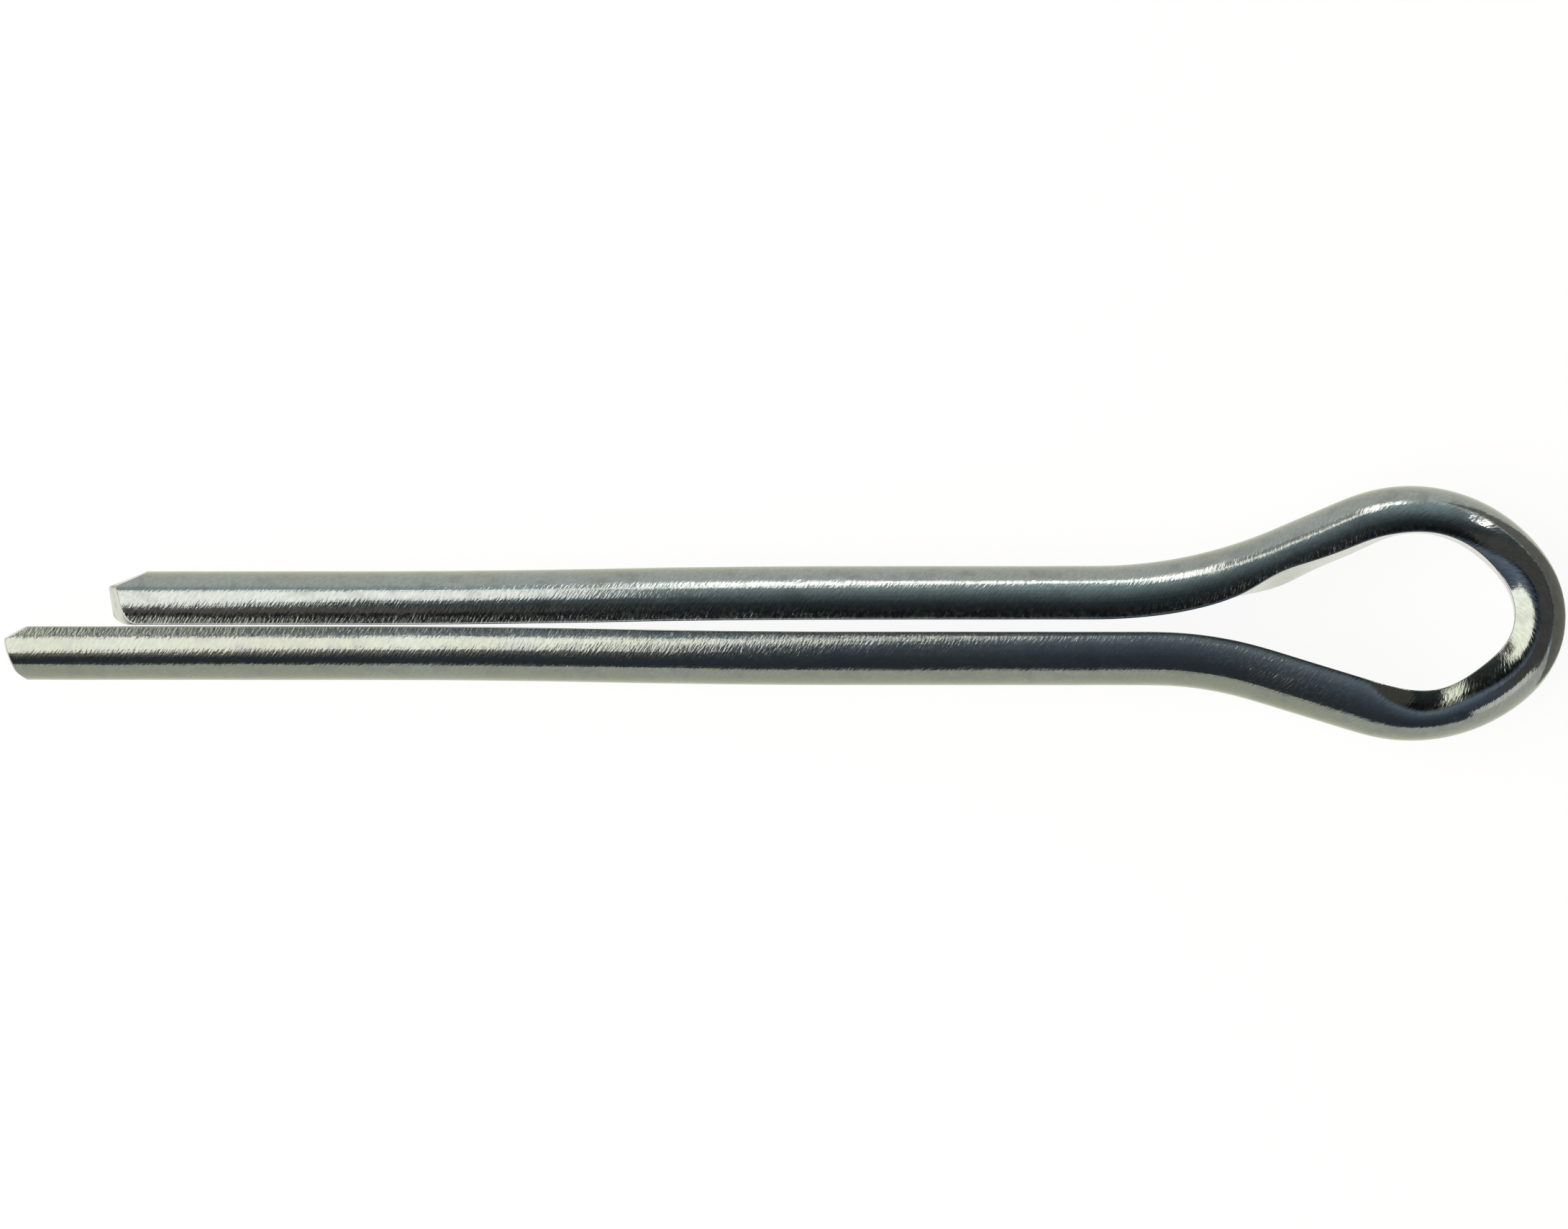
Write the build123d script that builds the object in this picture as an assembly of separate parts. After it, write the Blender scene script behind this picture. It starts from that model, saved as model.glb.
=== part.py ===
from build123d import *
import math
import os

# A cotter pin: one length of half-round wire folded in the middle, flat side to flat side. It lies on its
# side, so the fold is in the XY plane. The shank runs along X, the eye is at +X and the two ends at -X.
# The origin is on the shank's axis, in the plane where the shoulders meet the rim of the hole.
# All sizes are in millimetres and all angles in degrees.

# The wire.
WIRE_RADIUS = 2.2
FLAT_CORNER_RADIUS = 0.2

# The prongs, measured from the plane of the hole's rim. The prong above the axis is the short one.
SHORT_PRONG_LENGTH = 43.4
EXTENSION = 4.5

# The two flats lie nearly shut behind the short end, then spread a little and run on parallel to the eye.
SHUT_LENGTH = 10.2
SHUT_GAP = 0.06
SPREAD_LENGTH = 20.5
SPRUNG_GAP = 0.46

# The eye, on the line of the wire's flat. It stands further above the shank's axis than below it.
SHOULDER_START = 3.17
UPPER_SHOULDER_RADIUS = 20.6
LOWER_SHOULDER_RADIUS = 16.1
UPPER_SLOPE = 23.1
LOWER_SLOPE = 17.0
EYE_ABOVE_AXIS = 3.5
EYE_BELOW_AXIS = 2.5
UPPER_CROWN_RADIUS = 4.6
LOWER_CROWN_RADIUS = 5.1
UPPER_CROWN_TURN = 56.0
LOWER_CROWN_TURN = 43.0

# The sheared ends. A nose height is how far the nose stands out from the wire's flat.
ROLLED_EDGE_SLOPE = 21.6
SHORT_NOSE_HEIGHT = 1.54
SHORT_NOSE_RADIUS = 0.25
SHORT_FACE_LEAN = 11.0
SHORT_HEEL_RADIUS = 0.35
LONG_NOSE_HEIGHT = 0.45
LONG_NOSE_RADIUS = 0.2
LONG_FACE_LEAN = 6.4
LONG_FACE_RADIUS = 2.3
LONG_FACE_TURN = 56.0

# Spare wire beyond each nose, and how far the shear's cut stands clear of the wire.
END_STOCK = 1.0
CUT_CLEARANCE = 1.0


def half_round():
    """The wire's section: the half of a disc at +X, with the flat's two corners rounded."""
    width = 2 * WIRE_RADIUS
    half = Circle(WIRE_RADIUS) & Pos(WIRE_RADIUS, 0) * Rectangle(width, width)
    return fillet(half.vertices(), FLAT_CORNER_RADIUS)


def run(previous, length):
    """A straight run on from the end of the edge before it."""
    return Line(previous @ 1, previous @ 1 + (previous % 1) * length)


def bend(previous, radius, turn):
    """A bend on from the end of the edge before it. A positive turn is to the left."""
    return JernArc(previous @ 1, previous % 1, radius, turn)


def rise(radius, turn):
    """How far a bend of this radius climbs while it turns away from level."""
    return radius * (1 - math.cos(math.radians(turn)))


def spread():
    """Radius and turn of each half of the S-bend between the shut and the sprung stretch of a prong."""
    turn = 2 * math.atan2((SPRUNG_GAP - SHUT_GAP) / 2, SPREAD_LENGTH)
    return SPREAD_LENGTH / (2 * math.sin(turn)), math.degrees(turn)


def upper_prong():
    """The flat's line from the short end to the foot of the upper shoulder."""
    radius, turn = spread()
    start = Vector(-SHORT_PRONG_LENGTH - END_STOCK, SHUT_GAP / 2)
    shut = Line(start, start + Vector(END_STOCK + SHUT_LENGTH, 0))
    outward = bend(shut, radius, turn)
    level = bend(outward, radius, -turn)
    sprung = Line(level @ 1, Vector(-SHOULDER_START, SPRUNG_GAP / 2))
    return [shut, outward, level, sprung]


def eye(foot):
    """The flat's line round the eye: out along the upper arm, round the end and back along the lower arm."""
    foot_height = SPRUNG_GAP / 2
    upper_radii = UPPER_SHOULDER_RADIUS + UPPER_CROWN_RADIUS
    lower_radii = LOWER_SHOULDER_RADIUS + LOWER_CROWN_RADIUS
    upper_climb = EYE_ABOVE_AXIS - foot_height - rise(upper_radii, UPPER_SLOPE)
    lower_climb = EYE_BELOW_AXIS - foot_height - rise(lower_radii, LOWER_SLOPE)
    upper_drop = rise(UPPER_CROWN_RADIUS, UPPER_CROWN_TURN)
    lower_drop = rise(LOWER_CROWN_RADIUS, LOWER_CROWN_TURN)
    end_height = EYE_ABOVE_AXIS - upper_drop + EYE_BELOW_AXIS - lower_drop
    end_share = math.cos(math.radians(UPPER_CROWN_TURN)) + math.cos(math.radians(LOWER_CROWN_TURN))

    shoulder = bend(foot, UPPER_SHOULDER_RADIUS, UPPER_SLOPE)
    arm = run(shoulder, upper_climb / math.sin(math.radians(UPPER_SLOPE)))
    crown = bend(arm, UPPER_CROWN_RADIUS, -UPPER_SLOPE - UPPER_CROWN_TURN)
    end = bend(crown, end_height / end_share, UPPER_CROWN_TURN + LOWER_CROWN_TURN - 180)
    lower_crown = bend(end, LOWER_CROWN_RADIUS, -LOWER_CROWN_TURN - LOWER_SLOPE)
    lower_arm = run(lower_crown, lower_climb / math.sin(math.radians(LOWER_SLOPE)))
    lower_shoulder = bend(lower_arm, LOWER_SHOULDER_RADIUS, LOWER_SLOPE)
    return [shoulder, arm, crown, end, lower_crown, lower_arm, lower_shoulder]


def lower_prong(foot):
    """The flat's line from the foot of the lower shoulder to the long end."""
    radius, turn = spread()
    spread_foot = SHUT_LENGTH + SPREAD_LENGTH - SHORT_PRONG_LENGTH
    sprung = Line(foot @ 1, Vector(spread_foot, -SPRUNG_GAP / 2))
    inward = bend(sprung, radius, -turn)
    level = bend(inward, radius, turn)
    shut = run(level, SHUT_LENGTH + EXTENSION + END_STOCK)
    return [sprung, inward, level, shut]


def folded_wire():
    """The half-round section carried along the whole line of the flat."""
    edges = upper_prong()
    edges += eye(edges[-1])
    edges += lower_prong(edges[-1])
    start = Plane(origin=edges[0] @ 0, x_dir=(0, 1, 0), z_dir=(1, 0, 0))
    return sweep(start * half_round(), path=Wire(edges))


def short_end():
    """What the shear leaves of the short prong. X runs back from the nose and Y out from the flat."""
    roll = math.tan(math.radians(ROLLED_EDGE_SLOPE))
    lean = math.tan(math.radians(SHORT_FACE_LEAN))
    back = (WIRE_RADIUS + CUT_CLEARANCE - SHORT_NOSE_HEIGHT) / roll
    return make_face(
        FilletPolyline(
            (back, 0),
            (back, WIRE_RADIUS + CUT_CLEARANCE),
            (0, SHORT_NOSE_HEIGHT),
            (SHORT_NOSE_HEIGHT * lean, 0),
            radius=[0, 0, SHORT_NOSE_RADIUS, SHORT_HEEL_RADIUS],
            close=True,
        )
    )


def long_end():
    """What the shear leaves of the long prong. X runs back from the nose and Y out from the flat."""
    lean = math.radians(LONG_FACE_LEAN)
    roll = math.tan(math.radians(ROLLED_EDGE_SLOPE))
    nose = Vector(0, LONG_NOSE_HEIGHT)
    face = JernArc(nose, (math.sin(lean), math.cos(lean)), LONG_FACE_RADIUS, -LONG_FACE_TURN)
    back = 2 * WIRE_RADIUS
    far_side = Polyline(face @ 1, (back, (face @ 1).Y), (back, nose.Y - back * roll), nose)
    kept = make_face([face, far_side])
    return fillet(kept.vertices().sort_by(Axis.X)[0], LONG_NOSE_RADIUS)


def sheared(wire, kept, nose_place):
    """The wire with the end beyond an outline cut away, down to the plane midway between the prongs."""
    back = kept.bounding_box().max.X
    front = -END_STOCK - CUT_CLEARANCE
    low, high = -SHUT_GAP / 2, WIRE_RADIUS + CUT_CLEARANCE
    stock = Pos((front + back) / 2, (low + high) / 2) * Rectangle(back - front, high - low)
    waste = extrude(stock - kept, WIRE_RADIUS + CUT_CLEARANCE, both=True)
    return wire - nose_place * waste


def cotter_pin():
    """The folded wire with both ends sheared."""
    short_nose = Pos(-SHORT_PRONG_LENGTH, SHUT_GAP / 2)
    long_nose = Pos(-SHORT_PRONG_LENGTH - EXTENSION, -SHUT_GAP / 2) * Rot(X=180)
    wire = sheared(folded_wire(), short_end(), short_nose)
    return sheared(wire, long_end(), long_nose)


pin = cotter_pin()
os.makedirs("parts", exist_ok=True)
export_step(pin, "parts/cotter_pin.step")
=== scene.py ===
import math

import bpy
import numpy as np
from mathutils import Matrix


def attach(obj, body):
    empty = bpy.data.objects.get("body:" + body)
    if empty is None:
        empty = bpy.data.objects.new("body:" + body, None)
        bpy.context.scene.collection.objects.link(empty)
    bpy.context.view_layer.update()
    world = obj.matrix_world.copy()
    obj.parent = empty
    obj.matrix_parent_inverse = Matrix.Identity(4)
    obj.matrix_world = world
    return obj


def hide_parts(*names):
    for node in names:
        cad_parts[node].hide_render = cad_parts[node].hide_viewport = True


# A cotter pin of zinc-plated steel, lying on its side on a pale table.
# Lengths are in millimetres up to the point where MM turns them into the frame's metres.

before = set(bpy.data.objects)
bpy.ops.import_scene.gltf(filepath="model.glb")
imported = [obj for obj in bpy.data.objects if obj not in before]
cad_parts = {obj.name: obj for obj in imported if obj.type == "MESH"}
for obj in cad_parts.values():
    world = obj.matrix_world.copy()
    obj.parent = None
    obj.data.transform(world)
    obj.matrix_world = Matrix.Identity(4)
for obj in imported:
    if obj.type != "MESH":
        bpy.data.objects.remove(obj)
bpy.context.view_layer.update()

# The line of the wire.
# One length of half-round steel wire is folded over a mandrel, flat side to flat side. The line followed
# here is that of the flat: along the short prong, round the eye and back along the long prong.

WIRE_RADIUS = 2.2
SHORT_PRONG_LENGTH = 43.4
EXTENSION = 4.5
SHUT_LENGTH = 10.2
SHUT_GAP = 0.06
SPREAD_LENGTH = 20.5
SPRUNG_GAP = 0.46
SHOULDER_START = 3.17
UPPER_SHOULDER_RADIUS = 20.6
LOWER_SHOULDER_RADIUS = 16.1
UPPER_SLOPE = math.radians(23.1)
LOWER_SLOPE = math.radians(17.0)
EYE_ABOVE_AXIS = 3.5
EYE_BELOW_AXIS = 2.5
UPPER_CROWN_RADIUS = 4.6
LOWER_CROWN_RADIUS = 5.1
UPPER_CROWN_TURN = math.radians(56.0)
LOWER_CROWN_TURN = math.radians(43.0)
SPARE_LINE = 1.0
LINE_STEP = 0.01
BEND_EASE = 0.4
BELL_REACH = 3 * BEND_EASE


def rise(radius, turn):
    """How far a bend of this radius climbs while it turns away from level."""
    return radius * (1 - math.cos(turn))


def headway(parts):
    """How far along X a row of (length, turn) stretches goes that starts level: the sum of each one's
    chord, which is its length times sin(half turn) / (half turn), times the cosine of its middle heading."""
    length, turn = np.array(parts).T
    heading = np.cumsum(turn) - turn / 2
    return (length * np.sinc(turn / (2 * np.pi)) * np.cos(heading)).sum()


def stretches():
    """Length and turn of each straight and each bend in the wire, from the short nose to the long one."""
    half_gap = SPRUNG_GAP / 2
    spread_turn = 2 * math.atan2(half_gap - SHUT_GAP / 2, SPREAD_LENGTH)
    spread_half = SPREAD_LENGTH / (2 * math.sin(spread_turn)) * spread_turn
    upper_radii = UPPER_SHOULDER_RADIUS + UPPER_CROWN_RADIUS
    lower_radii = LOWER_SHOULDER_RADIUS + LOWER_CROWN_RADIUS
    upper_climb = EYE_ABOVE_AXIS - half_gap - rise(upper_radii, UPPER_SLOPE)
    lower_climb = EYE_BELOW_AXIS - half_gap - rise(lower_radii, LOWER_SLOPE)
    upper_drop = rise(UPPER_CROWN_RADIUS, UPPER_CROWN_TURN)
    lower_drop = rise(LOWER_CROWN_RADIUS, LOWER_CROWN_TURN)
    end_height = EYE_ABOVE_AXIS - upper_drop + EYE_BELOW_AXIS - lower_drop
    end_radius = end_height / (math.cos(UPPER_CROWN_TURN) + math.cos(LOWER_CROWN_TURN))
    end_turn = math.pi - UPPER_CROWN_TURN - LOWER_CROWN_TURN
    upper_turn = UPPER_SLOPE + UPPER_CROWN_TURN
    lower_turn = LOWER_SLOPE + LOWER_CROWN_TURN
    eye = [
        (UPPER_SHOULDER_RADIUS * UPPER_SLOPE, UPPER_SLOPE),
        (upper_climb / math.sin(UPPER_SLOPE), 0.0),
        (UPPER_CROWN_RADIUS * upper_turn, -upper_turn),
        (end_radius * end_turn, -end_turn),
        (LOWER_CROWN_RADIUS * lower_turn, -lower_turn),
        (lower_climb / math.sin(LOWER_SLOPE), 0.0),
        (LOWER_SHOULDER_RADIUS * LOWER_SLOPE, LOWER_SLOPE),
    ]
    upper_sprung = SHORT_PRONG_LENGTH - SHUT_LENGTH - SPREAD_LENGTH - SHOULDER_START
    upper_prong = [
        (SHUT_LENGTH, 0.0),
        (spread_half, spread_turn),
        (spread_half, -spread_turn),
        (upper_sprung, 0.0),
    ]
    lower_prong = [
        (upper_sprung + headway(eye), 0.0),
        (spread_half, -spread_turn),
        (spread_half, spread_turn),
        (SHUT_LENGTH + EXTENSION, 0.0),
    ]
    return upper_prong + eye + lower_prong


def flat_line():
    """Distance from the short nose, X, Y and heading along the flat, with SPARE_LINE beyond both noses.
    The heading grows evenly over each stretch, so a turn of nothing is a straight and any other an arc,
    and is then eased by a bell-shaped running mean. X and Y are the running sums of its cosine and sine,
    and what they miss the long nose by is shared out evenly."""
    length, turn = np.array(stretches()).T
    joints = np.concatenate([[0.0], np.cumsum(length)])
    headings = np.concatenate([[0.0], np.cumsum(turn)])
    distance = np.arange(-SPARE_LINE, joints[-1] + SPARE_LINE, LINE_STEP)
    heading = np.interp(distance, joints, headings)
    away = np.arange(-BELL_REACH, BELL_REACH, LINE_STEP)
    bell = np.exp(-0.5 * (away / BEND_EASE) ** 2)
    half = len(bell) // 2
    padded = np.pad(heading, half, mode="edge")
    heading = np.convolve(padded, bell / bell.sum(), mode="same")[half:][: len(distance)]
    x = -SHORT_PRONG_LENGTH - SPARE_LINE + np.cumsum(np.cos(heading)) * LINE_STEP
    y = SHUT_GAP / 2 + np.cumsum(np.sin(heading)) * LINE_STEP
    drift = (distance + SPARE_LINE) / (distance[-1] + SPARE_LINE)
    x += (-SHORT_PRONG_LENGTH - EXTENSION - SPARE_LINE - x[-1]) * drift
    y += (-SHUT_GAP / 2 - y[-1]) * drift
    return distance, x, y, heading


LINE = flat_line()
WIRE_LENGTH = LINE[0][-1] - SPARE_LINE

# The wire's section.
# Half-round steel wire is rolled from round stock, so its flat meets the round side in two small rounded
# corners. Folding it over the mandrel draws it thinner round the eye, squeezes its flat narrower at the
# eye's end and turns it a few degrees.

FLAT_CORNER_RADIUS = 0.06
FLAT_POINTS = 8
CORNER_POINTS = 10
ROUND_POINTS = 30
UNDERSIZE = 0.994
PRESS_WIDTH = 2.0
PRESS_SHOULDER = 1.1
PRESSED_DOWN = ((58.2, 0.17, 1.3), (60.8, 0.27, 1.6), (64.4, 0.26, 1.1))
DRAWN_THIN = ((48.5, 0.2, 2.2), (54.7, 0.3, 1.8), (58.5, 0.1, 2.0), (63.7, 0.2, 1.1))
ROLLED_UP = ((48.0, 0.13, 1.0), (50.3, 0.075, 1.4), (52.0, 0.03, 0.8), (60.6, -0.09, 2.2))


def half_round():
    """Out, up, their normal and the distance gone round the section, in rows of points that start and end
    in the middle of the flat. The normal stays level along the flat, swings over the corner by 90 degrees
    and a tuck, whose sine is r / (R - r), and over the round by the rest of the half turn."""
    step = np.arange(FLAT_POINTS + CORNER_POINTS + ROUND_POINTS + 1)
    on_flat = np.clip(step / FLAT_POINTS, 0, 1)
    on_corner = np.clip((step - FLAT_POINTS) / CORNER_POINTS, 0, 1)
    on_round = np.clip((step - FLAT_POINTS - CORNER_POINTS) / ROUND_POINTS, 0, 1)
    tuck = math.asin(FLAT_CORNER_RADIUS / (WIRE_RADIUS - FLAT_CORNER_RADIUS))
    flat = (WIRE_RADIUS - FLAT_CORNER_RADIUS) * math.cos(tuck)
    corner_turn = math.pi / 2 + tuck
    round_turn = math.pi / 2 - tuck
    swing = on_corner * corner_turn + on_round * round_turn
    normal_out, normal_up = -np.cos(swing), np.sin(swing)
    corner_out = FLAT_CORNER_RADIUS * (1 + normal_out)
    corner_up = flat * on_flat + FLAT_CORNER_RADIUS * normal_up
    out = np.where(on_round > 0, WIRE_RADIUS * normal_out, corner_out)
    up = np.where(on_round > 0, WIRE_RADIUS * normal_up, corner_up)
    corner_gone = FLAT_CORNER_RADIUS * corner_turn * on_corner
    gone = flat * on_flat + corner_gone + WIRE_RADIUS * round_turn * on_round
    halves = ((out, 1), (up, -1), (normal_out, 1), (normal_up, -1))
    whole = [np.concatenate([half, sign * half[-2::-1]]) for half, sign in halves]
    return *whole, np.concatenate([gone, 2 * gone[-1] - gone[-2::-1]])


SECTION_OUT, SECTION_UP, NORMAL_OUT, NORMAL_UP, SECTION_GONE = half_round()


def swell(distance, bumps):
    """The sum of smooth humps along the wire, each (place, height, half width) and bell-shaped."""
    return sum(height * np.exp(-0.5 * ((distance - place) / width) ** 2) for place, height, width in bumps)


def bent_section(along, out, up):
    """Out and up as the fold leaves them. Up shrinks by PRESSED_DOWN at the flat and not at all from
    PRESS_WIDTH outwards. The section then leans by the angle ROLLED_UP, and DRAWN_THIN moves its flat
    outwards and leaves the round side where it is. All of it is a hair under size."""
    outward = np.clip(out / PRESS_WIDTH, 0, 1)
    bevel = (1 - outward) ** 2 * (1 + PRESS_SHOULDER * outward)
    pressed_up = up * (1 - swell(along, PRESSED_DOWN) * bevel)
    lean = swell(along, ROLLED_UP)
    leaning_out = out * np.cos(lean) + pressed_up * np.sin(lean)
    leaning_up = pressed_up * np.cos(lean) - out * np.sin(lean)
    thin = swell(along, DRAWN_THIN)
    drawn_out = thin + leaning_out * (1 - thin / WIRE_RADIUS)
    return drawn_out * UNDERSIZE, leaning_up * UNDERSIZE


# The sheared ends.
# Both prongs are cut off by a shear whose blade comes down from the short prong's side. It rolls the edge
# that it meets over at a slope, and beyond the nose it leaves a face that leans back, with a rounded heel.

SHORT_ROLL_SLOPE = math.tan(math.radians(20.2))
SHORT_NOSE_HEIGHT = 1.58
SHORT_FACE_SLOPE = 0.13
SHORT_FACE_AHEAD = 0.12
SHORT_FACE_TILT = math.tan(math.radians(9.5))
SHORT_HEEL_WIDTH = 0.5
SHORT_HEEL_DEPTH = 0.45
SHORT_HEEL_POWER = 2.5
LONG_NOSE_HEIGHT = 0.5
LONG_NOSE_BACK = 0.045
LONG_ROLL_SLOPE = 0.56
LONG_FACE_SLOPE = 0.1
LONG_FACE_BOW = 0.235
LONG_FACE_TILT = math.tan(math.radians(6.0))
LONG_HEEL_WIDTH = 0.45
LONG_HEEL_DEPTH = 0.3
NOSE_EASE = 0.05
END_BLEND = 5.0
RIM = 0.04


def meet(a, b):
    """The higher of two slopes, with the corner between them eased: their mean, plus the root of half
    their difference squared and a small constant squared, less that constant."""
    return (a + b) / 2 + np.sqrt(((a - b) / 2) ** 2 + NOSE_EASE**2) - NOSE_EASE


def above_underside(out, up):
    """Height above the lowest point that the round side has this far out from the flat."""
    return up + np.sqrt(np.clip(WIRE_RADIUS**2 - out**2, 0, None))


def short_cut(out, up):
    """How far back from its nose the short prong is cut: the rolled edge above the nose, the leaning face
    below it and the rounded heel by the flat. The face also leans back from the underside upwards, from
    SHORT_FACE_AHEAD in front of the nose."""
    roll = (out - SHORT_NOSE_HEIGHT) / SHORT_ROLL_SLOPE
    face = (SHORT_NOSE_HEIGHT - out) * SHORT_FACE_SLOPE
    heel = SHORT_HEEL_DEPTH * np.clip(1 - out / SHORT_HEEL_WIDTH, 0, None) ** SHORT_HEEL_POWER
    return meet(roll, face) + heel + above_underside(out, up) * SHORT_FACE_TILT - SHORT_FACE_AHEAD


def long_cut(out, up):
    """How far back from its nose the long prong is cut: the rolled edge on the flat's side of the nose, a
    bowed face on the other and a rounded heel. The face also leans back from the underside upwards, from
    LONG_NOSE_BACK behind the nose."""
    above = out - LONG_NOSE_HEIGHT
    roll = -above / LONG_ROLL_SLOPE
    face = LONG_FACE_SLOPE * above + LONG_FACE_BOW * np.clip(above, 0, None) ** 2
    heel = LONG_HEEL_DEPTH * np.clip(1 - (WIRE_RADIUS - out) / LONG_HEEL_WIDTH, 0, None) ** 2
    return meet(roll, face) + heel + above_underside(out, up) * LONG_FACE_TILT + LONG_NOSE_BACK


# The folded wire as one closed skin.
# The steel wire is one piece from end to end. Rings of its section are carried along its line, slide back
# onto the shear's cut near each end, turn over the rim and close over the face. Drawing left shallow waves
# in the round side, and handling a few dents.

MM = 0.001
RING_PITCH = 0.15
EYE_RING_PITCH = 0.11
EYE_FROM, EYE_TO = 41.0, 76.0
RIM_RINGS = 5
FACE_RINGS = 9
FACE_CENTRE = 1.0
WAVE_COUNT = 26
WAVE_LENGTHS = (1.6, 9.0)
WAVE_GIRTHS = (1.2, 5.0)
WAVE_DEPTH = 0.0035
DENTS = (
    (14.4, 51, 0.16, 0.030),
    (28.1, 46, 0.14, 0.020),
    (29.8, 46, 0.12, 0.016),
    (45.4, 40, 0.22, 0.010),
    (45.9, 44, 0.12, 0.010),
    (55.6, 41, 0.26, 0.020),
    (59.05, 37, 0.12, 0.022),
    (60.2, 39, 0.11, 0.020),
    (63.3, 42, 0.12, 0.022),
    (97.8, 55, 0.14, 0.020),
    (97.1, 58, 0.12, 0.018),
)


def ring_places():
    """Distance along the wire of each ring, closer together round the eye."""
    before = np.arange(0, EYE_FROM, RING_PITCH)
    eye = np.arange(EYE_FROM, EYE_TO, EYE_RING_PITCH)
    after = np.arange(EYE_TO, WIRE_LENGTH, RING_PITCH)
    return np.concatenate([before, eye, after, [WIRE_LENGTH]])


def waves(along):
    """How deep the drawn surface dips, about 0 to 1: a half, and half the sum of slow sine waves over the
    root of their number. They run along and round the wire, and each has a length, a girth, a phase and a
    hand from one seeded draw."""
    draw = np.random.default_rng(5)
    total = np.zeros(along.shape)
    for _ in range(WAVE_COUNT):
        length = draw.uniform(*WAVE_LENGTHS)
        girth = draw.uniform(*WAVE_GIRTHS)
        phase = draw.uniform(0, 2 * math.pi)
        hand = draw.choice([-1, 1])
        total += np.sin(2 * math.pi * (along / length + hand * SECTION_GONE / girth) + phase)
    return 0.5 + 0.5 * total / math.sqrt(WAVE_COUNT)


def dents(along, out, up):
    """How deep the handling marks are: bell-shaped pits, each at a distance along the wire and at an angle
    down from the top of the round side."""
    depth = np.zeros(along.shape)
    for place, angle, radius, deep in DENTS:
        pit_out = WIRE_RADIUS * math.sin(math.radians(angle))
        pit_up = WIRE_RADIUS * math.cos(math.radians(angle))
        away = (along - place) ** 2 + (out - pit_out) ** 2 + (up - pit_up) ** 2
        depth += deep * np.exp(-0.5 * away / radius**2)
    return depth


def section_rows():
    """Place along the wire, out and up, with one row for each ring and one column for each point of the
    section. The rim rows step in by a quarter circle, and the face rows shrink towards its centre."""
    body = ring_places()
    body = body[(body > RIM) & (body < WIRE_LENGTH - RIM)]
    body = np.concatenate([[RIM], body, [WIRE_LENGTH - RIM]])
    turn = np.linspace(0, math.pi / 2, RIM_RINGS + 1)[1:]
    ahead = np.concatenate([RIM * (1 - np.sin(turn)), np.zeros(FACE_RINGS)])
    place = np.concatenate([ahead[::-1], body, WIRE_LENGTH - ahead])[:, None]

    inset = RIM * (1 - np.cos(turn))[:, None]
    rim_out = SECTION_OUT - NORMAL_OUT * inset
    rim_up = SECTION_UP - NORMAL_UP * inset
    shrink = np.linspace(1, 0, FACE_RINGS + 1)[1:, None]
    end_out = np.vstack([rim_out, FACE_CENTRE + (rim_out[-1] - FACE_CENTRE) * shrink])
    end_up = np.vstack([rim_up, rim_up[-1] * shrink])
    body_out = np.tile(SECTION_OUT, (len(body), 1))
    body_up = np.tile(SECTION_UP, (len(body), 1))
    all_out = np.vstack([end_out[::-1], body_out, end_out])
    all_up = np.vstack([end_up[::-1], body_up, end_up])
    return place, all_out, all_up


def wire_points():
    """X, Y and Z of the skin's points, and how far along the wire each lies: its row's place plus the
    depth of the cut, faded out evenly over END_BLEND. The waves and dents go in along the normal, the
    section is bent, and out and up are then set square to the flat's line."""
    place, out, up = section_rows()
    from_short = short_cut(out, up) * np.clip(1 - place / END_BLEND, 0, None)
    from_long = long_cut(out, up) * np.clip(1 - (WIRE_LENGTH - place) / END_BLEND, 0, None)
    along = place + from_short - from_long
    press = WAVE_DEPTH * waves(along) + dents(along, out, up)
    out, up = bent_section(along, out - press * NORMAL_OUT, up - press * NORMAL_UP)

    distance, x, y, heading = LINE
    facing = np.interp(along, distance, heading)
    points_x = np.interp(along, distance, x) - out * np.sin(facing)
    points_y = np.interp(along, distance, y) + out * np.cos(facing)
    return np.stack([points_x, points_y, up], axis=-1), along


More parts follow.
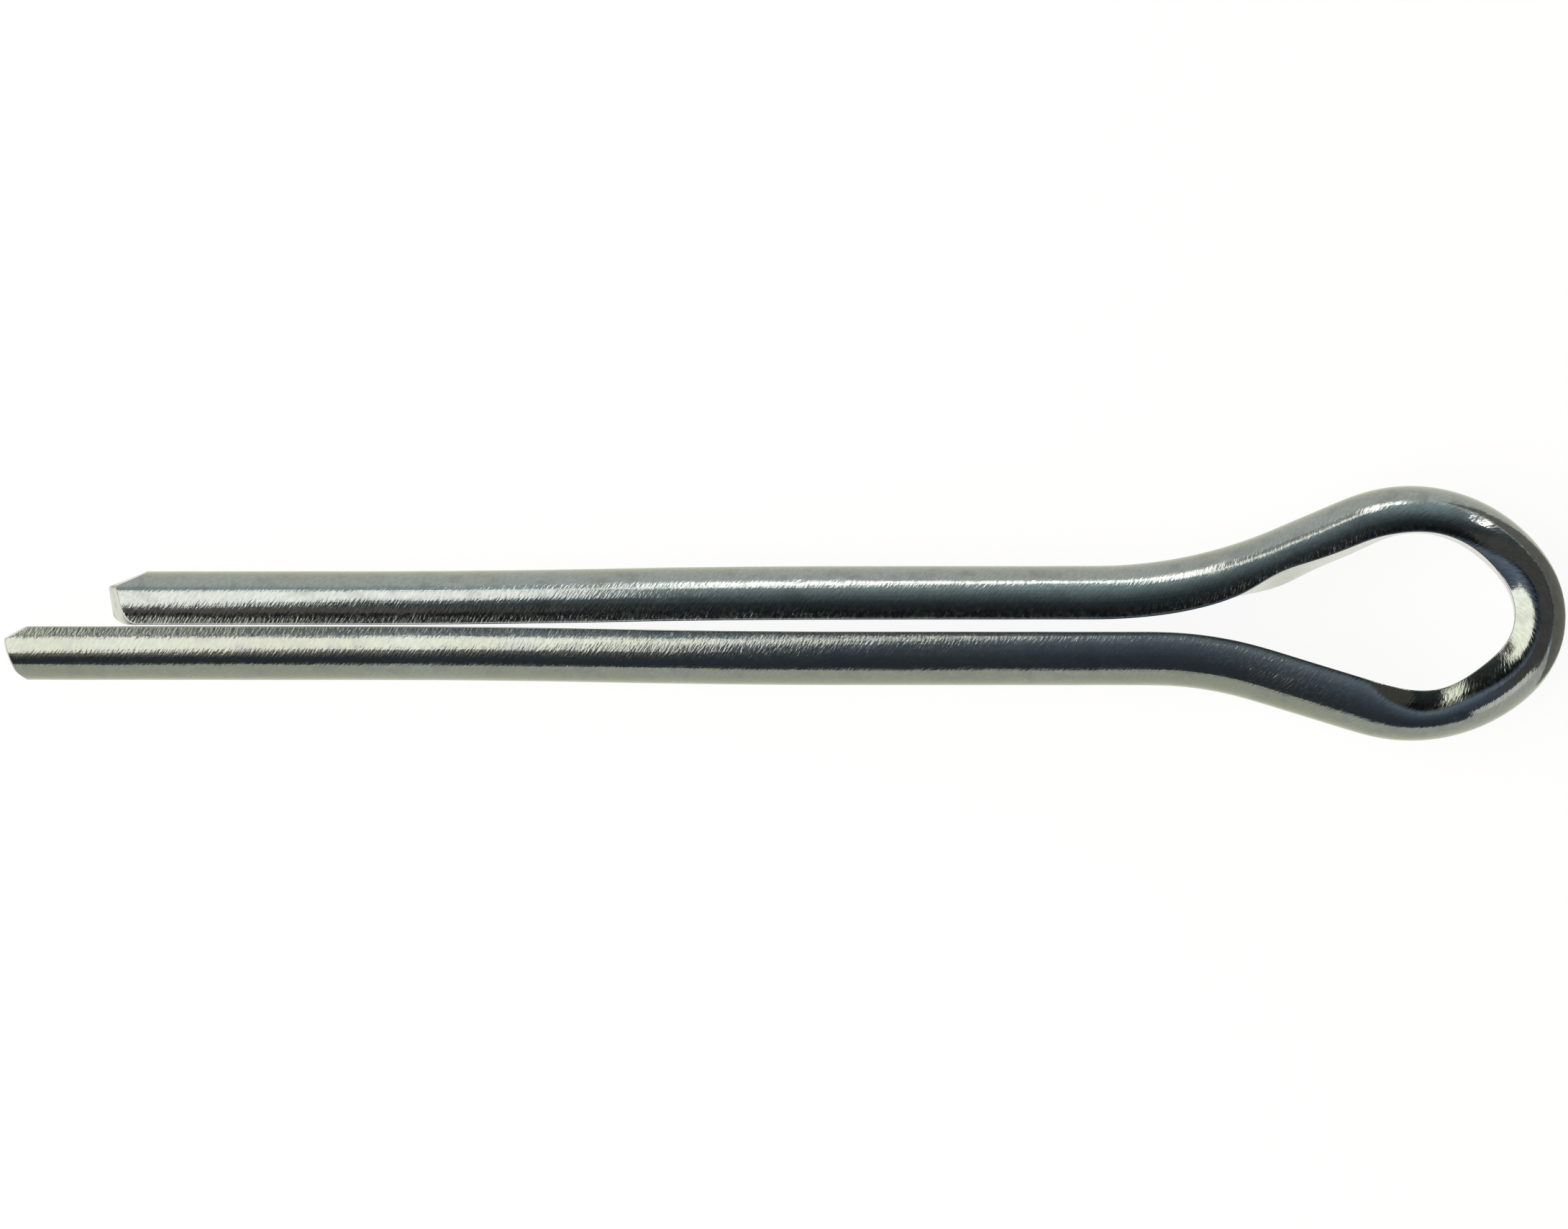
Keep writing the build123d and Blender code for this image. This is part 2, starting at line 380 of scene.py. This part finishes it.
def wire_mesh():
    """One closed mesh of the points. The last column is the first one again, so it is left out and the
    faces wrap round, and the innermost row of each end closes onto one point. The UV map holds the
    distances along and round the wire in metres."""
    points, along = wire_points()
    rows, columns = points.shape[0], points.shape[1] - 1
    inner = points[1:-1, :-1].reshape(-1, 3)
    poles = np.stack([points[0].mean(axis=0), points[-1].mean(axis=0)])
    corners = np.concatenate([inner, poles]) * MM

    row, column = np.meshgrid(np.arange(rows - 3), np.arange(columns), indexing="ij")
    after = (column + 1) % columns
    first, following = row * columns, (row + 1) * columns
    quads = np.stack([first + column, following + column, following + after, first + after], axis=-1)
    quads = quads.reshape(-1, 4)
    step = np.arange(columns)
    wrap = (step + 1) % columns
    last = (rows - 3) * columns
    near = np.stack([np.full(columns, len(inner)), step, wrap], axis=-1)
    far = np.stack([np.full(columns, len(inner) + 1), last + wrap, last + step], axis=-1)

    mesh = bpy.data.meshes.new("half_round_wire")
    mesh.from_pydata(corners.tolist(), [], quads.tolist() + near.tolist() + far.tolist())
    mesh.polygons.foreach_set("use_smooth", np.ones(len(mesh.polygons), dtype=bool))

    uv = np.stack([along, np.broadcast_to(SECTION_GONE, along.shape)], axis=-1)[1:-1] * MM
    quad_uv = np.stack([uv[:-1, :-1], uv[1:, :-1], uv[1:, 1:], uv[:-1, 1:]], axis=2)
    near_uv = np.stack([uv[0, :-1], uv[0, :-1], uv[0, 1:]], axis=1)
    far_uv = np.stack([uv[-1, :-1], uv[-1, 1:], uv[-1, :-1]], axis=1)
    layer = mesh.uv_layers.new(name="wire")
    layer.data.foreach_set("uv", np.concatenate([quad_uv.ravel(), near_uv.ravel(), far_uv.ravel()]))
    mesh.validate()
    mesh.update()
    return mesh


wire = bpy.data.objects.new("folded_wire", wire_mesh())
bpy.context.collection.objects.link(wire)
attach(wire, "root")
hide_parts("cotter_pin")

# The finish.
# Bright zinc plating under a clear passivate: a cool grey metal that turns olive in random patches, with
# darker spots and a frosty grain where it was tumbled. Its shift to olive along the long prong is painted
# warmth: it stands in for the warmer light that the long prong reflects on its side. Fine strokes run
# slantwise across the wire, and faint drawing lines along it.

ZINC_COOL = (0.292, 0.328, 0.318, 1)
ZINC_OLIVE_AND_PAINTED_WARMTH = (0.240, 0.260, 0.200, 1)
EDGE_CREAM = (0.97, 0.96, 0.84, 1)
STAIN_DARK = (0.19, 0.205, 0.195, 1)
# Over this stretch of the wire, in metres, the olive share shifts from less to more by the turn: painted
# warmth on the long prong, for the warmer light it reflects.
PAINTED_WARMTH_SPAN = (0.055, 0.07)
PAINTED_WARMTH_TURN = 0.35

# Each pattern of noise has how many patches it shows in a metre and how fine its detail is. A span is the
# stretch of a pattern's values, or of the wire in metres, over which an effect fades in.
TINT_PATCHES = (260.0, 4.0)
STAIN_SPOTS = (1300.0, 6.0)
STAIN_SPAN = (0.5, 0.72)
STAIN_SHARE = 0.75
FROST_GRAIN = (5200.0, 3.0)
FROST_SPAN = (0.3, 0.7)
BRIGHT, FROSTED = 0.08, 0.17

# Each kind of stroke has its angle to the wire in degrees, how many there are in a metre across and along
# the strokes, and the lowest crest that shows. The depths are in metres.
HATCH = (-58.0, 11500.0, 3200.0, 0.3)
SCORES = (-57.0, 9000.0, 2400.0, 0.45)
DRAWING_LINES = (0.0, 6000.0, 120.0, 0.4)
FULL_CREST = 0.8
HATCH_SPAN = (0.1, 0.7)
HATCH_SHARE = 0.45
HATCH_DEPTH = 0.0000022
SCORE_DEPTH = 0.0000014
DRAWING_DEPTH = 0.0000012
FROST_DEPTH = 0.0000016


def strokes_group():
    """Fine strokes in one direction: noise on the UV map, turned by Angle and stretched by its counts
    Across and Along the strokes, of which only the crests above Lowest Crest are kept."""
    group = bpy.data.node_groups.new("fine_strokes", "ShaderNodeTree")
    for label in ("Angle", "Across", "Along", "Lowest Crest"):
        group.interface.new_socket(label, in_out="INPUT", socket_type="NodeSocketFloat")
    group.interface.new_socket("Strokes", in_out="OUTPUT", socket_type="NodeSocketFloat")
    nodes, links = group.nodes, group.links
    given, result = nodes.new("NodeGroupInput"), nodes.new("NodeGroupOutput")
    place = nodes.new("ShaderNodeUVMap")
    place.uv_map = "wire"
    turned = nodes.new("ShaderNodeVectorRotate")
    turned.rotation_type = "Z_AXIS"
    links.new(place.outputs["UV"], turned.inputs["Vector"])
    links.new(given.outputs["Angle"], turned.inputs["Angle"])
    counts = nodes.new("ShaderNodeCombineXYZ")
    links.new(given.outputs["Along"], counts.inputs["X"])
    links.new(given.outputs["Across"], counts.inputs["Y"])
    stretched = nodes.new("ShaderNodeVectorMath")
    stretched.operation = "MULTIPLY"
    links.new(turned.outputs["Vector"], stretched.inputs[0])
    links.new(counts.outputs["Vector"], stretched.inputs[1])
    noise = nodes.new("ShaderNodeTexNoise")
    noise.noise_dimensions = "2D"
    noise.inputs["Scale"].default_value = 1.0
    noise.inputs["Detail"].default_value = 1.5
    links.new(stretched.outputs["Vector"], noise.inputs["Vector"])
    crest = nodes.new("ShaderNodeMapRange")
    links.new(noise.outputs["Fac"], crest.inputs["Value"])
    links.new(given.outputs["Lowest Crest"], crest.inputs["From Min"])
    crest.inputs["From Max"].default_value = FULL_CREST
    links.new(crest.outputs["Result"], result.inputs["Strokes"])
    return group


FINE_STROKES = strokes_group()


def zinc_plating():
    """The plating's material. Its colour goes from cool to olive by patches of noise, more of them on the
    long prong, where the extra olive is painted warmth for the warmer light reflected on that side, and then
    dark by spots of noise and by the hatch. The hatch, the scores, the drawing lines and the frost are
    bumps, one on the other."""
    material = bpy.data.materials.new("zinc_plating")
    material.use_nodes = True
    nodes, links = material.node_tree.nodes, material.node_tree.links
    metal = nodes["Principled BSDF"]
    metal.inputs["Metallic"].default_value = 1.0
    metal.inputs["Specular Tint"].default_value = EDGE_CREAM
    place = nodes.new("ShaderNodeTexCoord")
    wire_place = nodes.new("ShaderNodeUVMap")
    wire_place.uv_map = "wire"

    def noise(scale, detail):
        texture = nodes.new("ShaderNodeTexNoise")
        texture.inputs["Scale"].default_value = scale
        texture.inputs["Detail"].default_value = detail
        links.new(place.outputs["Object"], texture.inputs["Vector"])
        return texture.outputs["Fac"]

    def fade(value, span, low, high):
        ramp = nodes.new("ShaderNodeMapRange")
        ramp.inputs["From Min"].default_value = span[0]
        ramp.inputs["From Max"].default_value = span[1]
        ramp.inputs["To Min"].default_value = low
        ramp.inputs["To Max"].default_value = high
        links.new(value, ramp.inputs["Value"])
        return ramp.outputs["Result"]

    def blend(share, over):
        mix = nodes.new("ShaderNodeMix")
        mix.data_type = "RGBA"
        links.new(share, mix.inputs["Factor"])
        mix.inputs["B"].default_value = over
        return mix

    def strokes(angle, across, along, lowest_crest):
        lines = nodes.new("ShaderNodeGroup")
        lines.node_tree = FINE_STROKES
        lines.inputs["Angle"].default_value = math.radians(angle)
        lines.inputs["Across"].default_value = across
        lines.inputs["Along"].default_value = along
        lines.inputs["Lowest Crest"].default_value = lowest_crest
        return lines.outputs["Strokes"]

    def relief(height, depth, under=None):
        bump = nodes.new("ShaderNodeBump")
        bump.inputs["Distance"].default_value = depth
        links.new(height, bump.inputs["Height"])
        if under is not None:
            links.new(under, bump.inputs["Normal"])
        return bump.outputs["Normal"]

    distance = nodes.new("ShaderNodeSeparateXYZ")
    links.new(wire_place.outputs["UV"], distance.inputs["Vector"])
    # Olive patches of noise, shifted by distance along the wire. The extra olive on the long prong is
    # painted warmth, standing in for the warmer light reflected on that side.
    olive_and_painted_warmth = nodes.new("ShaderNodeMath")
    olive_and_painted_warmth.use_clamp = True
    painted_warmth_turning = fade(distance.outputs["X"], PAINTED_WARMTH_SPAN, -PAINTED_WARMTH_TURN, PAINTED_WARMTH_TURN)
    links.new(noise(*TINT_PATCHES), olive_and_painted_warmth.inputs[0])
    links.new(painted_warmth_turning, olive_and_painted_warmth.inputs[1])
    tint = blend(olive_and_painted_warmth.outputs[0], ZINC_OLIVE_AND_PAINTED_WARMTH)
    tint.inputs["A"].default_value = ZINC_COOL
    stained = blend(fade(noise(*STAIN_SPOTS), STAIN_SPAN, 0.0, STAIN_SHARE), STAIN_DARK)
    links.new(tint.outputs["Result"], stained.inputs["A"])
    hatch = strokes(*HATCH)
    hatched = blend(fade(hatch, HATCH_SPAN, 0.0, HATCH_SHARE), STAIN_DARK)
    links.new(stained.outputs["Result"], hatched.inputs["A"])
    links.new(hatched.outputs["Result"], metal.inputs["Base Color"])

    frost = noise(*FROST_GRAIN)
    links.new(fade(frost, FROST_SPAN, BRIGHT, FROSTED), metal.inputs["Roughness"])
    hatch_relief = relief(hatch, HATCH_DEPTH)
    score_relief = relief(strokes(*SCORES), SCORE_DEPTH, hatch_relief)
    drawing_relief = relief(strokes(*DRAWING_LINES), DRAWING_DEPTH, score_relief)
    links.new(relief(frost, FROST_DEPTH, drawing_relief), metal.inputs["Normal"])
    return material


wire.data.materials.append(zinc_plating())

# The table.
# A plain white table top that the pin lies on. It keeps the pin's shadow and shows pale all over.

TABLE_HALF = 3.0
TABLE_WHITE = (0.075, 0.072, 0.066, 1)
TABLE_GLOW = 0.93


def table_top():
    """A square sheet under the pin. Its paint takes the pin's shadow, and it glows a little for what looks
    at it straight, in a reflection or through something clear."""
    mesh = bpy.data.meshes.new("table_top")
    level = -WIRE_RADIUS * MM
    corners = [(x * TABLE_HALF, y * TABLE_HALF, level) for x, y in ((-1, -1), (1, -1), (1, 1), (-1, 1))]
    mesh.from_pydata(corners, [], [(0, 1, 2, 3)])
    top = bpy.data.objects.new("table_top", mesh)
    bpy.context.collection.objects.link(top)
    material = bpy.data.materials.new("table_white")
    material.use_nodes = True
    nodes, links = material.node_tree.nodes, material.node_tree.links
    paint = nodes["Principled BSDF"]
    paint.inputs["Base Color"].default_value = TABLE_WHITE
    paint.inputs["Roughness"].default_value = 0.9
    paint.inputs["Specular IOR Level"].default_value = 0.1
    glow = nodes.new("ShaderNodeEmission")
    glow.inputs["Color"].default_value = (1, 1, 1, 1)
    rays = nodes.new("ShaderNodeLightPath")
    seen = rays.outputs["Is Camera Ray"]
    for kind in ("Is Glossy Ray", "Is Transmission Ray"):
        either = nodes.new("ShaderNodeMath")
        either.operation = "MAXIMUM"
        links.new(seen, either.inputs[0])
        links.new(rays.outputs[kind], either.inputs[1])
        seen = either.outputs[0]
    amount = nodes.new("ShaderNodeMath")
    amount.operation = "MULTIPLY"
    amount.inputs[1].default_value = TABLE_GLOW
    links.new(seen, amount.inputs[0])
    links.new(amount.outputs[0], glow.inputs["Strength"])
    both = nodes.new("ShaderNodeAddShader")
    links.new(paint.outputs["BSDF"], both.inputs[0])
    links.new(glow.outputs["Emission"], both.inputs[1])
    links.new(both.outputs["Shader"], nodes["Material Output"].inputs["Surface"])
    mesh.materials.append(material)
    return top


table_top()

# The light.
# Soft panels stand round the table, each a flat glowing sheet given by its corners in metres: a large one
# beyond the prongs' ends, smaller ones in front, behind and to the right, and a dim grey sheet on the table
# beyond the eye that is painted shade: it stands in for the pin's shadow on the table there as the metal
# reflects it. The rest of the room is dim.


def soft_panel(name, corners, colour, strength):
    """A glowing sheet that lights the pin and shows in it, but not in the picture itself."""
    mesh = bpy.data.meshes.new(name)
    mesh.from_pydata(corners, [], [tuple(range(len(corners)))])
    panel = bpy.data.objects.new(name, mesh)
    bpy.context.collection.objects.link(panel)
    material = bpy.data.materials.new(name)
    material.use_nodes = True
    nodes, links = material.node_tree.nodes, material.node_tree.links
    nodes.remove(nodes["Principled BSDF"])
    glow = nodes.new("ShaderNodeEmission")
    glow.inputs["Color"].default_value = (*colour, 1)
    glow.inputs["Strength"].default_value = strength
    links.new(glow.outputs["Emission"], nodes["Material Output"].inputs["Surface"])
    mesh.materials.append(material)
    panel.visible_camera = False
    return panel


CREAM = (1.0, 0.955, 0.87)
WARM = (1.0, 0.95, 0.96)
COOL = (1.0, 0.94, 0.925)
ROSE = (1.0, 0.84, 0.86)

soft_panel(
    "side_panel",
    [(-0.9, -1.3, 0.0), (-0.9, 1.5, 0.0), (-0.2, 0.34, 0.9), (-0.2, -0.3, 0.9)],
    CREAM,
    3.0,
)
soft_panel(
    "side_panel_edge",
    [(-0.2, -0.3, 0.9), (-0.2, 0.34, 0.9), (-0.13, 0.24, 0.9), (-0.13, -0.3, 0.9)],
    CREAM,
    2.0,
)
soft_panel(
    "side_panel_fringe",
    [(-0.13, -0.03, 0.9), (-0.13, 0.03, 0.9), (-0.06, 0.03, 0.9), (-0.06, -0.03, 0.9)],
    CREAM,
    0.9,
)
soft_panel(
    "side_panel_rim",
    [(-0.06, -0.03, 0.9), (-0.06, 0.03, 0.9), (0.01, 0.03, 0.9), (0.01, -0.03, 0.9)],
    CREAM,
    0.35,
)
soft_panel(
    "front_panel",
    [(-0.095, -0.028, 0.08), (-0.058, -0.035, 0.08), (-0.029, -0.030, 0.08), (-0.0167, -0.0235, 0.08),
     (-0.007, -0.012, 0.08), (-0.003, -0.012, 0.08), (-0.004, -0.018, 0.08), (-0.007, -0.020, 0.08),
     (-0.0167, -0.036, 0.08), (-0.024, -0.060, 0.08), (-0.027, -0.085, 0.08), (-0.041, -0.095, 0.08),
     (-0.058, -0.128, 0.08), (-0.095, -0.15, 0.08)],
    WARM,
    3.2,
)
soft_panel(
    "front_rose_card",
    [(-0.095, -0.15, 0.08), (-0.058, -0.128, 0.08), (-0.041, -0.095, 0.08), (-0.027, -0.085, 0.08),
     (-0.024, -0.060, 0.08), (-0.0225, -0.075, 0.08), (-0.030, -0.12, 0.08), (-0.058, -0.20, 0.08),
     (-0.095, -0.22, 0.08)],
    ROSE,
    0.34,
)
soft_panel(
    "back_panel",
    [(-0.0255, 0.05, 0.0115), (-0.026, 0.05, 0.034), (-0.0385, 0.05, 0.041), (-0.046, 0.05, 0.062),
     (-0.09, 0.05, 0.070), (-0.09, 0.05, 0.0115)],
    COOL,
    2.9,
)
soft_panel(
    "back_rose_card",
    [(-0.030, 0.048, 0.1), (-0.036, 0.085, 0.1), (-0.09, 0.085, 0.1), (-0.09, 0.048, 0.1)],
    ROSE,
    0.24,
)
soft_panel(
    "low_back_panel",
    [(-0.0245, 0.12, 0.0), (0.0085, 0.12, 0.0), (0.0075, 0.122, 0.0165), (-0.0005, 0.122, 0.0150),
     (-0.0075, 0.122, 0.0126), (-0.0135, 0.122, 0.028), (-0.0245, 0.122, 0.036)],
    COOL,
    5.0,
)
soft_panel(
    "crown_panel",
    [(0.012, 0.12, 0.0), (0.020, 0.12, 0.0), (0.020, 0.122, 0.014), (0.012, 0.122, 0.014)],
    COOL,
    1.4,
)
soft_panel(
    "arm_panel",
    [(-0.015, 0.095, 0.019), (-0.045, 0.085, 0.019), (-0.045, 0.085, 0.026), (-0.015, 0.095, 0.026)],
    COOL,
    3.5,
)
soft_panel(
    "back_wall",
    [(-0.50, 0.30, 0.0), (-0.075, 0.30, 0.0), (-0.075, 0.30, 0.10), (-0.50, 0.30, 0.10)],
    COOL,
    0.6,
)
soft_panel(
    "far_back_panel",
    [(0.219, 0.327, 0.0), (0.231, 0.318, 0.0), (0.231, 0.318, 0.14), (0.219, 0.327, 0.14)],
    COOL,
    12.0,
)
soft_panel(
    "low_right_panel",
    [(0.10, -0.06, 0.0), (0.06, -0.10, 0.0), (0.06, -0.10, 0.04), (0.10, -0.06, 0.04)],
    COOL,
    1.6,
)
soft_panel(
    "right_wall",
    [(0.3, -0.25, 0.02), (0.3, 0.25, 0.02), (0.2, 0.25, 0.5), (0.2, -0.25, 0.5)],
    WARM,
    0.16,
)
# A dim sheet lying on the table beyond the eye: painted shade, standing in for the pin's shadow there.
painted_shade_card = soft_panel(
    "painted_shade_card",
    [(0.0166, -0.004, -0.0021), (0.5, -0.12, -0.0021), (0.5, 0.25, -0.0021), (0.0166, 0.03, -0.0021)],
    COOL,
    0.32,
)

# The dim sheet is painted shade for the pin's shadow beyond the eye, and shows in the metal alone.
painted_shade_card.visible_diffuse = False
painted_shade_card.visible_shadow = False

ROOM_SHADES = (
    (-1.0, 0.08, 1.4),
    (-0.8, 0.11, 1.45),
    (-0.5, 0.21, 1.5),
    (-0.2, 0.42, 1.4),
    (0.05, 0.015, 1.15),
    (0.3, 0.02, 1.15),
    (0.57, 0.07, 1.15),
    (0.71, 0.16, 1.15),
    (0.82, 0.30, 1.12),
    (0.91, 0.50, 1.1),
    (1.0, 0.8, 1.05),
)
ROOM_RED = 0.83


def dim_room():
    """A dim room, shaded by how far a direction points to +Y: pale overhead in front and low down behind,
    dark elsewhere. ROOM_SHADES gives (that share of the direction, shade, how blue it is)."""
    world = bpy.data.worlds.new("dim_room")
    bpy.context.scene.world = world
    world.use_nodes = True
    nodes, links = world.node_tree.nodes, world.node_tree.links
    direction = nodes.new("ShaderNodeTexCoord")
    parts = nodes.new("ShaderNodeSeparateXYZ")
    links.new(direction.outputs["Generated"], parts.inputs["Vector"])
    across = nodes.new("ShaderNodeMapRange")
    across.inputs["From Min"].default_value = -1.0
    links.new(parts.outputs["Y"], across.inputs["Value"])
    shades = nodes.new("ShaderNodeValToRGB")
    stops = shades.color_ramp.elements
    for share, _, _ in ROOM_SHADES[1:-1]:
        stops.new((share + 1) / 2)
    for stop, (share, shade, blue) in zip(stops, ROOM_SHADES):
        stop.position = (share + 1) / 2
        stop.color = (shade * ROOM_RED, shade, shade * blue, 1)
    links.new(across.outputs["Result"], shades.inputs["Fac"])
    links.new(shades.outputs["Color"], nodes["Background"].inputs["Color"])


dim_room()

# The camera.
# It looks straight down on the pin from about a third of a metre, with a long lens.

CAMERA_X = -0.01588
CAMERA_Y = 0.00045
CAMERA_HEIGHT = 0.35
SEEN_WIDTH = 0.06393
FILM_WIDTH = 36.0

lens = bpy.data.cameras.new("camera")
lens.sensor_width = FILM_WIDTH
lens.lens = FILM_WIDTH * CAMERA_HEIGHT / SEEN_WIDTH
camera = bpy.data.objects.new("camera", lens)
camera.location = (CAMERA_X, CAMERA_Y, CAMERA_HEIGHT)
bpy.context.collection.objects.link(camera)
bpy.context.scene.camera = camera
bpy.context.scene.view_settings.view_transform = "Standard"
